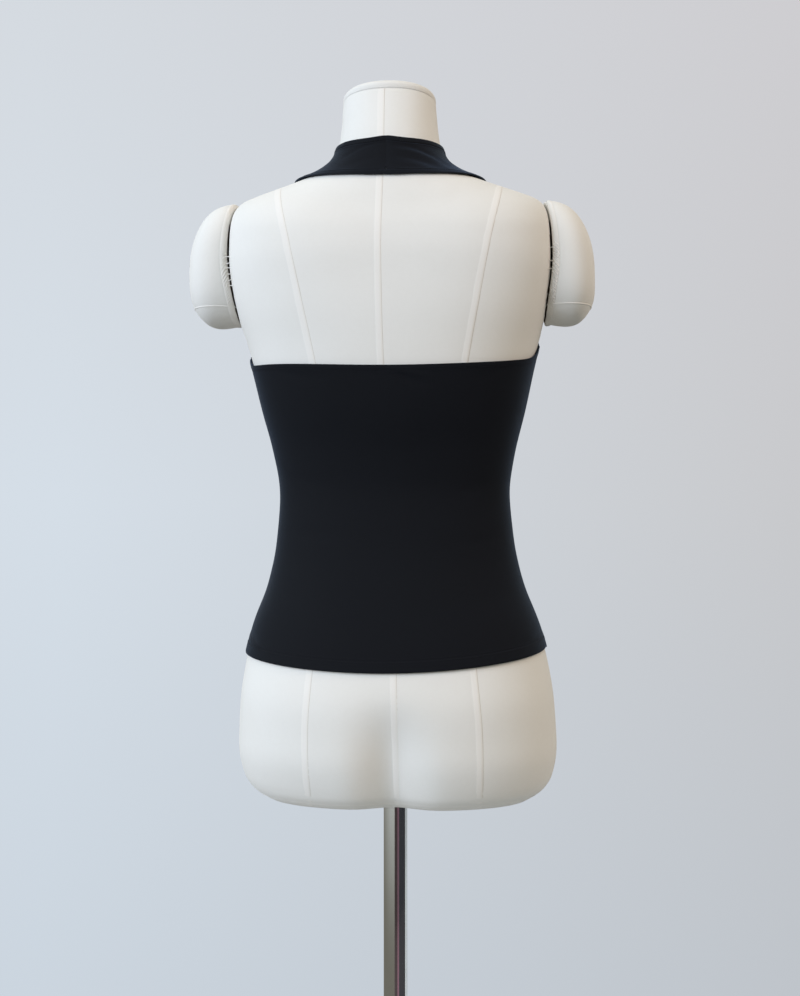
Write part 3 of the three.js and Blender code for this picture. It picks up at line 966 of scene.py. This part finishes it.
def spread(points, pitch):
    """The same polyline with a point at every pitch."""
    spaced = []
    for start, end in zip(points, points[1:]):
        count = max(1, math.ceil((end - start).length / pitch))
        spaced += [start.lerp(end, i / count) for i in range(count)]
    return spaced + [points[-1]]


def nearness(runs, kind):
    """A function that gives a point's distance from the borders of one kind."""
    points = [point for found, line in runs if found == kind for point in spread(line, BORDER_PITCH)]
    tree = KDTree(len(points))
    for i, point in enumerate(points):
        tree.insert(point, i)
    tree.balance()
    return lambda point: tree.find(point)[2]


# %% Finer rows beside the borders
def refine(piece, distance, reach, cuts):
    """Splits the edges that lead away from a border, within reach of it."""
    mesh = bmesh.new()
    mesh.from_mesh(piece.data)
    away = {vert: distance(vert.co) for vert in mesh.verts}
    crossing = []
    for edge in mesh.edges:
        a, b = edge.verts
        if min(away[a], away[b]) < reach and abs(away[a] - away[b]) > 0.6 * edge.calc_length():
            crossing.append(edge)
    bmesh.ops.subdivide_edges(mesh, edges=crossing, cuts=cuts, use_grid_fill=True)
    mesh.to_mesh(piece.data)
    mesh.free()


HEM_TURN = 13 * MM
EDGE_TURN = 6.5 * MM
PAST_TURN = 3 * MM  # the finer rows go this far past the turned cloth
for piece, runs in ((top_front, front_runs), (top_back, back_runs)):
    refine(piece, nearness(runs, "hem"), HEM_TURN + PAST_TURN, 3)
    refine(piece, nearness(runs, "edge"), EDGE_TURN + PAST_TURN, 2)
    print(piece.name, "faces:", len(piece.data.polygons))

# %% [markdown]
# ## Creases
#
# Worn jersey creases a little where it is pulled. Each crease here is a short line on the cloth,
# with a depth and a half width, that fades towards its ends. A positive depth is a trough and a
# negative one is a ridge. All are listed one by one, and no two are alike.

# %% Crease tables
# Each crease is its line, its depth and its half width, in millimetres. A point of the line is
# (from the middle towards the left, above the waist).
BACK_CREASES = [
    ([(-4, 117), (-18, 112), (-36, 106)], 0.7, 3.5),
    ([(-2, 122), (-20, 118), (-42, 114)], -0.5, 3.0),
    ([(70, 112), (104, 118), (132, 130)], 0.5, 5.0),
    ([(-84, 114), (-112, 121), (-134, 133)], 0.45, 5.0),
    ([(118, 30), (96, 12), (70, 4)], 0.45, 6.5),
    ([(-118, 18), (-92, 2), (-58, -4)], 0.4, 7.0),
    ([(112, -38), (84, -46), (50, -44)], 0.4, 7.5),
    ([(-116, -44), (-90, -54), (-64, -54)], 0.45, 6.5),
    ([(158, -142), (150, -151), (139, -157)], 1.0, 3.0),
    ([(157, -150), (148, -158), (136, -163)], -0.8, 2.6),
    ([(-157, -146), (-146, -154), (-130, -158)], 0.6, 4.0),
]
NECK_CREASES = [
    ([(-3, 354), (-24, 352), (-44, 344), (-56, 333)], 0.9, 2.2),
    ([(-3, 349), (-26, 346), (-46, 338), (-58, 328)], -0.8, 2.4),
    ([(-5, 341), (-24, 339), (-42, 333), (-54, 325)], 0.8, 2.6),
    ([(-6, 334), (-26, 332), (-44, 327)], -0.4, 3.0),
    ([(6, 357), (30, 354), (48, 345), (57, 336)], 0.8, 1.8),
    ([(12, 340), (34, 337), (52, 329)], 0.35, 3.5),
]
FRONT_CREASES = [
    ([(128, 128), (108, 136), (90, 140)], 0.6, 5.0),
    ([(-130, 124), (-112, 134), (-88, 142)], 0.55, 5.5),
    ([(8, 168), (30, 166), (52, 160)], 0.5, 5.0),
    ([(-10, 160), (-32, 160), (-58, 153)], 0.45, 6.0),
    ([(62, 222), (54, 252), (46, 284)], 0.7, 4.0),
    ([(-60, 216), (-52, 246), (-45, 280)], 0.65, 4.5),
    ([(106, 10), (76, -2), (42, -4)], 0.5, 7.0),
    ([(-108, 18), (-82, 4), (-52, 0)], 0.55, 6.5),
    ([(104, -36), (78, -46), (44, -45)], 0.4, 7.5),
    ([(-106, -28), (-76, -40), (-40, -42)], 0.45, 8.0),
]
CREASE_STEPS = 24


def on_form(x, z):
    """A point in the form's middle plane, from millimetres."""
    return Vector((x * MM, 0, WAIST + z * MM))


def crease_lines(piece, table, direction):
    """Finds each crease's line on a skin, by rays from one side."""
    surface = surface_of(piece)
    lines = []
    for line, depth, half in table:
        route = cast_route(surface, smooth_rows(line, CREASE_STEPS),
                           lambda x, z: on_form(x, z) + direction * FAR, on_form)
        lines.append((np.array([point for point, _ in route]), depth * MM, half * MM))
    return lines


def crease_depth(points, lines):
    """How far each point sinks into the creases."""
    sunk = np.zeros(len(points))
    for line, depth, half in lines:
        away = np.linalg.norm(points[:, None, :] - line[None, :, :], axis=2)
        nearest = away.argmin(1)
        along = nearest / (len(line) - 1)
        fade = np.sin(np.pi * np.clip(along * 0.9 + 0.05, 0, 1)) ** 0.8
        sunk += depth * fade * np.exp(-((away.min(1) / half) ** 2))
    return sunk


# %% Shape the cloth
EDGE_RAISE = 0.35 * MM
EDGE_STEP = 1.2 * MM  # over which the turned cloth ends
EDGE_ROUND = 0.4 * MM
GROOVE = 0.5 * MM
GROOVE_HALF = 0.8 * MM
STITCH_INSET = 0.8 * MM  # from the end of the turned cloth to the stitches
SIDE_PUCKER = (0.7 * MM, 2.2 * MM)  # depth and half width of the dip along a sewn seam
NAPE_PUCKER = (0.8 * MM, 1.6 * MM)
SEWN_WITHIN = 0.4 * MM
SEWN_SHARE = 0.1  # how much of the gap between sewn edges is left


def turned_up(distance, turn):
    """Height of a turned and stitched edge at a distance from it."""
    raised = EDGE_RAISE * min(1.0, max(0.0, (turn + EDGE_STEP - distance) / EDGE_STEP))
    stitched = GROOVE * math.exp(-(((distance - turn + STITCH_INSET) / GROOVE_HALF) ** 2))
    rounded = EDGE_ROUND * math.exp(-distance / (2 * EDGE_ROUND))
    return raised - stitched - rounded


def puckered(distance, pucker):
    """Depth of the dip along a sewn seam."""
    depth, half = pucker
    return depth * math.exp(-((distance / half) ** 2))


def close_seams(piece):
    """Brings the sewn edges of the pieces together, so that no light shows between them."""
    for vert in piece.data.vertices:
        middle = leaning(vert.co.z)
        if border_kind(vert.co) == "side seam" and abs(vert.co.y) < SEWN_WITHIN:
            vert.co.y *= SEWN_SHARE
        elif border_kind(vert.co) == "nape seam" and abs(vert.co.x - middle) < SEWN_WITHIN:
            vert.co.x = middle + (vert.co.x - middle) * SEWN_SHARE


def shape_cloth(piece, runs, lines):
    """Moves a skin's points out and in: creases, turned edges and the dips along its seams."""
    hem, edge = nearness(runs, "hem"), nearness(runs, "edge")
    side = nearness(runs, "side seam")
    nape = nearness(runs, "nape seam") if any(kind == "nape seam" for kind, _ in runs) else None
    mesh = piece.data
    points = np.array([vert.co[:] for vert in mesh.vertices])
    sunk = crease_depth(points, lines)
    moved = []
    for vert, depth in zip(mesh.vertices, sunk):
        height = -depth + turned_up(hem(vert.co), HEM_TURN) + turned_up(edge(vert.co), EDGE_TURN)
        height -= puckered(side(vert.co), SIDE_PUCKER)
        if nape:
            height -= puckered(nape(vert.co), NAPE_PUCKER)
        moved.append(vert.co + vert.normal * height)
    for vert, place in zip(mesh.vertices, moved):
        vert.co = place
    mesh.update()


back_lines = crease_lines(top_back, BACK_CREASES, BEHIND)
front_lines = crease_lines(top_front, FRONT_CREASES, BEFORE)
front_lines += crease_lines(top_front, NECK_CREASES, BEHIND)
for piece in (top_back, top_front):
    close_seams(piece)
shape_cloth(top_back, back_runs, back_lines)
shape_cloth(top_front, front_runs, front_lines)

# %% [markdown]
# ## Stitches
#
# The turned edges are held by a row of short black stitches. One stitch is modelled, an array
# repeats it along a row, and a curve bends the row onto the cloth.


# %% Stitch rows
STITCH_PITCH = 2.6 * MM
STITCH_LENGTH = 1.9 * MM
STITCH_THICK = 0.42 * MM
STITCH_LIFT = 0.12 * MM
SHORTEST_RUN = 8  # points in the outline: a shorter run is a corner and gets no stitches


def stitch_line(piece, points, inset):
    """A line on the cloth at a fixed distance inside a border run."""
    surface = surface_of(piece)
    spaced = spread(points, 3 * MM)
    line = []
    for i in range(1, len(spaced) - 1):
        along = (spaced[i + 1] - spaced[i - 1]).normalized()
        _, normal, _, _ = surface.find_nearest(spaced[i])
        inward = normal.cross(along)
        best = None
        for sign in (1, -1):
            guess = spaced[i] + inward * inset * sign
            point, facing, _, gap = surface.find_nearest(guess)
            if best is None or gap < best[0]:
                best = (gap, point, facing)
        line.append(best[1] + best[2] * STITCH_LIFT)
    return line


def stitch_row(name, line):
    curve = bpy.data.curves.new(name + "_line", "CURVE")
    curve.dimensions = "3D"
    curve.twist_mode = "MINIMUM"
    spline = curve.splines.new("POLY")
    spline.points.add(len(line) - 1)
    for point, place in zip(spline.points, line):
        point.co = (*place, 1)
    path = bpy.data.objects.new(curve.name, curve)
    bpy.context.scene.collection.objects.link(path)
    bpy.ops.object.select_all(action="DESELECT")
    bpy.ops.mesh.primitive_uv_sphere_add(segments=8, ring_count=5, radius=0.5, location=(0, 0, 0))
    row = bpy.context.object
    row.name = name
    row.data.name = name
    row.scale = (STITCH_LENGTH, STITCH_THICK, STITCH_THICK)
    settle(row)
    apply_modifier(row, "ARRAY", fit_type="FIT_CURVE", curve=path, use_relative_offset=False,
                   use_constant_offset=True, constant_offset_displace=(STITCH_PITCH, 0, 0))
    apply_modifier(row, "CURVE", object=path, deform_axis="POS_X")
    bpy.data.objects.remove(path)
    return row


def stitch_panel(piece, runs):
    """Rows of stitches along a skin's hem and edges, joined into one piece."""
    rows = []
    for kind, points in runs:
        if kind not in ("hem", "edge") or len(points) < SHORTEST_RUN:
            continue
        inset = (HEM_TURN if kind == "hem" else EDGE_TURN) - STITCH_INSET
        line = stitch_line(piece, points, inset)
        rows.append(stitch_row(f"{piece.name}_stitches_{len(rows)}", line))
    stitches = joined(piece.name + "_stitches", rows)
    finished(stitches, black_thread)
    return stitches


back_stitches = stitch_panel(top_back, back_runs)
front_stitches = stitch_panel(top_front, front_runs)

# %% [markdown]
# ## Thickness
#
# The skins lie on the outer face of the cloth, and their edges are already rounded. Solidify adds
# the wall inwards.

# %% Give the cloth its wall
CLOTH_WALL = 1.2 * MM
for piece, node, flat, area, stitches in (
    (top_front, "front", front_flat, front_area, front_stitches),
    (top_back, "back", back_flat, back_area, back_stitches),
):
    apply_modifier(piece, "SOLIDIFY", thickness=CLOTH_WALL, offset=-1.0, use_even_offset=True)
    finished(piece, jersey, [node])

# %% [markdown]
# ## The stand
#
# The pole is a plain polished tube, made from a cylinder. The base is a heavy round plate with a
# crowned top and a socket for the pole. It is made from a flat cylinder whose top face is inset and
# raised step by step. Both are softened with a bevel.

# %% Pole
pole_low, pole_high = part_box("pole")
pole_radius = (pole_high.x - pole_low.x) / 2
stand_pole = added("stand_pole", bpy.ops.mesh.primitive_cylinder_add, vertices=96, radius=pole_radius,
                   depth=pole_high.z - pole_low.z, location=(0, 0, (pole_low.z + pole_high.z) / 2))
apply_modifier(stand_pole, "BEVEL", width=0.8 * MM, segments=3, limit_method="ANGLE")
finished(stand_pole, chrome, ["pole"])

# %% Base
_, base_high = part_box("base")
PLATE_EDGE = 5 * MM
stand_base = added("stand_base", bpy.ops.mesh.primitive_cylinder_add, vertices=128, radius=base_high.x,
                   depth=PLATE_EDGE, location=(0, 0, PLATE_EDGE / 2))
bpy.ops.object.mode_set(mode="EDIT")
bpy.ops.mesh.select_all(action="DESELECT")
base_mesh = bmesh.from_edit_mesh(stand_base.data)
for face in base_mesh.faces:
    face.select = face.normal.z > 0.9
bmesh.update_edit_mesh(stand_base.data)
# Each step is an inset towards the axis and a rise: the crown, the fillet and the socket.
BASE_STEPS = [(60, 1.8), (60, 1.6), (32, 0.6), (10, 2.5), (4, 9), (0.01, 37), (1.2, 1.0), (9.8, 0),
              (0.01, -12)]
for inset, rise in BASE_STEPS:
    bpy.ops.mesh.inset(thickness=inset * MM, depth=0)
    bpy.ops.transform.translate(value=(0, 0, rise * MM))
bpy.ops.object.mode_set(mode="OBJECT")
apply_modifier(stand_base, "BEVEL", width=1.2 * MM, segments=3, limit_method="ANGLE",
               angle_limit=math.radians(35))
finished(stand_base, chrome, ["base"])

# %% [markdown]
# ## Studio
#
# A large cool window stands to the form's left, on the camera's side, and the room gives back a
# weaker and warmer light from all round, with less from below. The floor is a pale disc that fades
# into a pale backdrop. The backdrop glows with painted light instead of being lit: a little darker
# and warmer away from the window, and changing with height.

# %% Backdrop and floor
scene = bpy.context.scene
MATT = {"Roughness": 1.0, "Specular IOR Level": 0.0}
scene.view_settings.view_transform = "Standard"
scene.view_settings.look = "None"

# Each wall colour is painted light, given for the bottom, the middle and the top of the backdrop.
WALL_BY_WINDOW = [(0.0, (0.591, 0.658, 0.730)), (0.5, (0.665, 0.730, 0.799)),
                  (1.0, (0.665, 0.701, 0.745))]
WALL_AWAY = [(0.0, (0.503, 0.533, 0.571)), (0.5, (0.571, 0.571, 0.584)), (1.0, (0.617, 0.604, 0.624))]
WALL_HEIGHTS = (-2.1, 4.0)
WALL_HALF_WIDTH = 2.4  # over which one side's colours change to the other's
INDIRECT = ("diffuse", "transmission", "shadow", "volume_scatter")


def unseen_by(piece, *rays):
    """Hides a piece of the studio from some of the light's rays."""
    for ray in rays:
        setattr(piece, "visible_" + ray, False)


def backdrop():
    dome = added("backdrop", bpy.ops.mesh.primitive_uv_sphere_add, segments=48, ring_count=24,
                 radius=7.0, location=(0, 0, 0.9))
    finish = Finish("backdrop_painted_light", {**MATT, "Base Color": (0, 0, 0, 1), "Emission Strength": 1.0})
    x, _, z = finish.axes(finish.place())
    height = finish.span(z, *WALL_HEIGHTS)
    towards_window = finish.span(x, -WALL_HALF_WIDTH, WALL_HALF_WIDTH)
    near = finish.node("ShaderNodeValToRGB", {"stops": WALL_BY_WINDOW}, {0: height})
    far = finish.node("ShaderNodeValToRGB", {"stops": WALL_AWAY}, {0: height})
    # The backdrop glows with painted light: lighter towards the window, and changing with height.
    finish.feed(finish.shader, {"Emission Color": finish.mix(far, near, towards_window)})
    dome.data.materials.append(finish.material)
    unseen_by(dome, "glossy", *INDIRECT)


def floor():
    disc = added("floor", bpy.ops.mesh.primitive_circle_add, vertices=96, radius=1.1,
                 fill_type="NGON", location=(0, 0, -0.5 * MM))
    finish = Finish("floor_paint", {"Roughness": 0.9, "Base Color": (0.62, 0.66, 0.7, 1)})
    away = finish.node("ShaderNodeVectorMath", {"operation": "LENGTH"}, {0: finish.place()}, output="Value")
    fade = finish.span(away, 0.35, 1.08, low=1.0, high=0.0, kind="SMOOTHSTEP")
    finish.feed(finish.shader, {"Alpha": fade})
    disc.data.materials.append(finish.material)


# %% Cards that only the chrome mirrors
CARD_STEPS = 16
CARD_EDGES = ((0.23, 2 * MM), (3.4, 2 * MM), (3.4, 1.7))  # distance from the pole, and height


def card(name, start, end, colour):
    """A strip of floor that turns up into a wall. start and end are degrees round the pole."""
    mesh = bmesh.new()
    rings = []
    turns = [math.radians(start + (end - start) * i / CARD_STEPS) for i in range(CARD_STEPS + 1)]
    for radius, height in CARD_EDGES:
        rings.append([mesh.verts.new((radius * math.sin(t), -radius * math.cos(t), height)) for t in turns])
    for inner, outer in zip(rings, rings[1:]):
        for i in range(CARD_STEPS):
            mesh.faces.new((inner[i], outer[i], outer[i + 1], inner[i + 1]))
    bmesh.ops.recalc_face_normals(mesh, faces=mesh.faces)
    piece = piece_from(name, mesh)
    finish = Finish(name + "_paint", {**MATT, "Base Color": (*colour, 1)})
    piece.data.materials.append(finish.material)
    unseen_by(piece, "camera", *INDIRECT)


# %% Lamps and the light of the room
HORIZON = 0.25  # half the height of the band in which the room's light changes


def lamp(name, place, aim, size, power, colour):
    data = bpy.data.lights.new(name, "AREA")
    data.shape = "RECTANGLE"
    data.size, data.size_y = size
    data.energy = power
    data.color = colour
    light = bpy.data.objects.new(name, data)
    light.location = place
    light.rotation_euler = (Vector(aim) - Vector(place)).to_track_quat("-Z", "Y").to_euler()
    scene.collection.objects.link(light)


def room_light(below, above):
    """Light from all round, which changes softly from one colour to the other at the horizon."""
    scene.world = scene.world or bpy.data.worlds.new("studio")
    sky = Finish("sky", {"Strength": 1.0}, world=scene.world)
    _, _, z = sky.axes(sky.node("ShaderNodeTexCoord", output="Generated"))
    stops = [(0.0, below), (1.0, above)]
    light = sky.node("ShaderNodeValToRGB", {"stops": stops}, {0: sky.span(z, -HORIZON, HORIZON)})
    light.socket.node.color_ramp.interpolation = "EASE"
    sky.feed(sky.shader, {"Color": light})


backdrop()
floor()
card("dark_card_near", 176, 203, (0.09, 0.065, 0.065))
card("red_card", 203, 219, (0.28, 0.15, 0.19))
card("dark_card", 219, 292, (0.06, 0.06, 0.068))
card("pale_card", 296, 332, (0.75, 0.80, 0.85))
lamp("window", (2.3, 2.0, 1.9), (0, 0, 1.05), (1.8, 1.8), 92, (0.70, 0.81, 1.0))
lamp("bounce", (-2.7, 1.3, 2.9), (0, 0, 1.2), (1.6, 1.6), 30, (1.0, 0.70, 0.55))
lamp("front_fill", (0.6, -2.6, 1.7), (0, 0, 1.0), (2.0, 1.8), 16, (1.0, 0.98, 0.96))
room_light(below=(0.19, 0.18, 0.147), above=(0.69, 0.72, 0.68))
print("lamps:", len(bpy.data.lights))
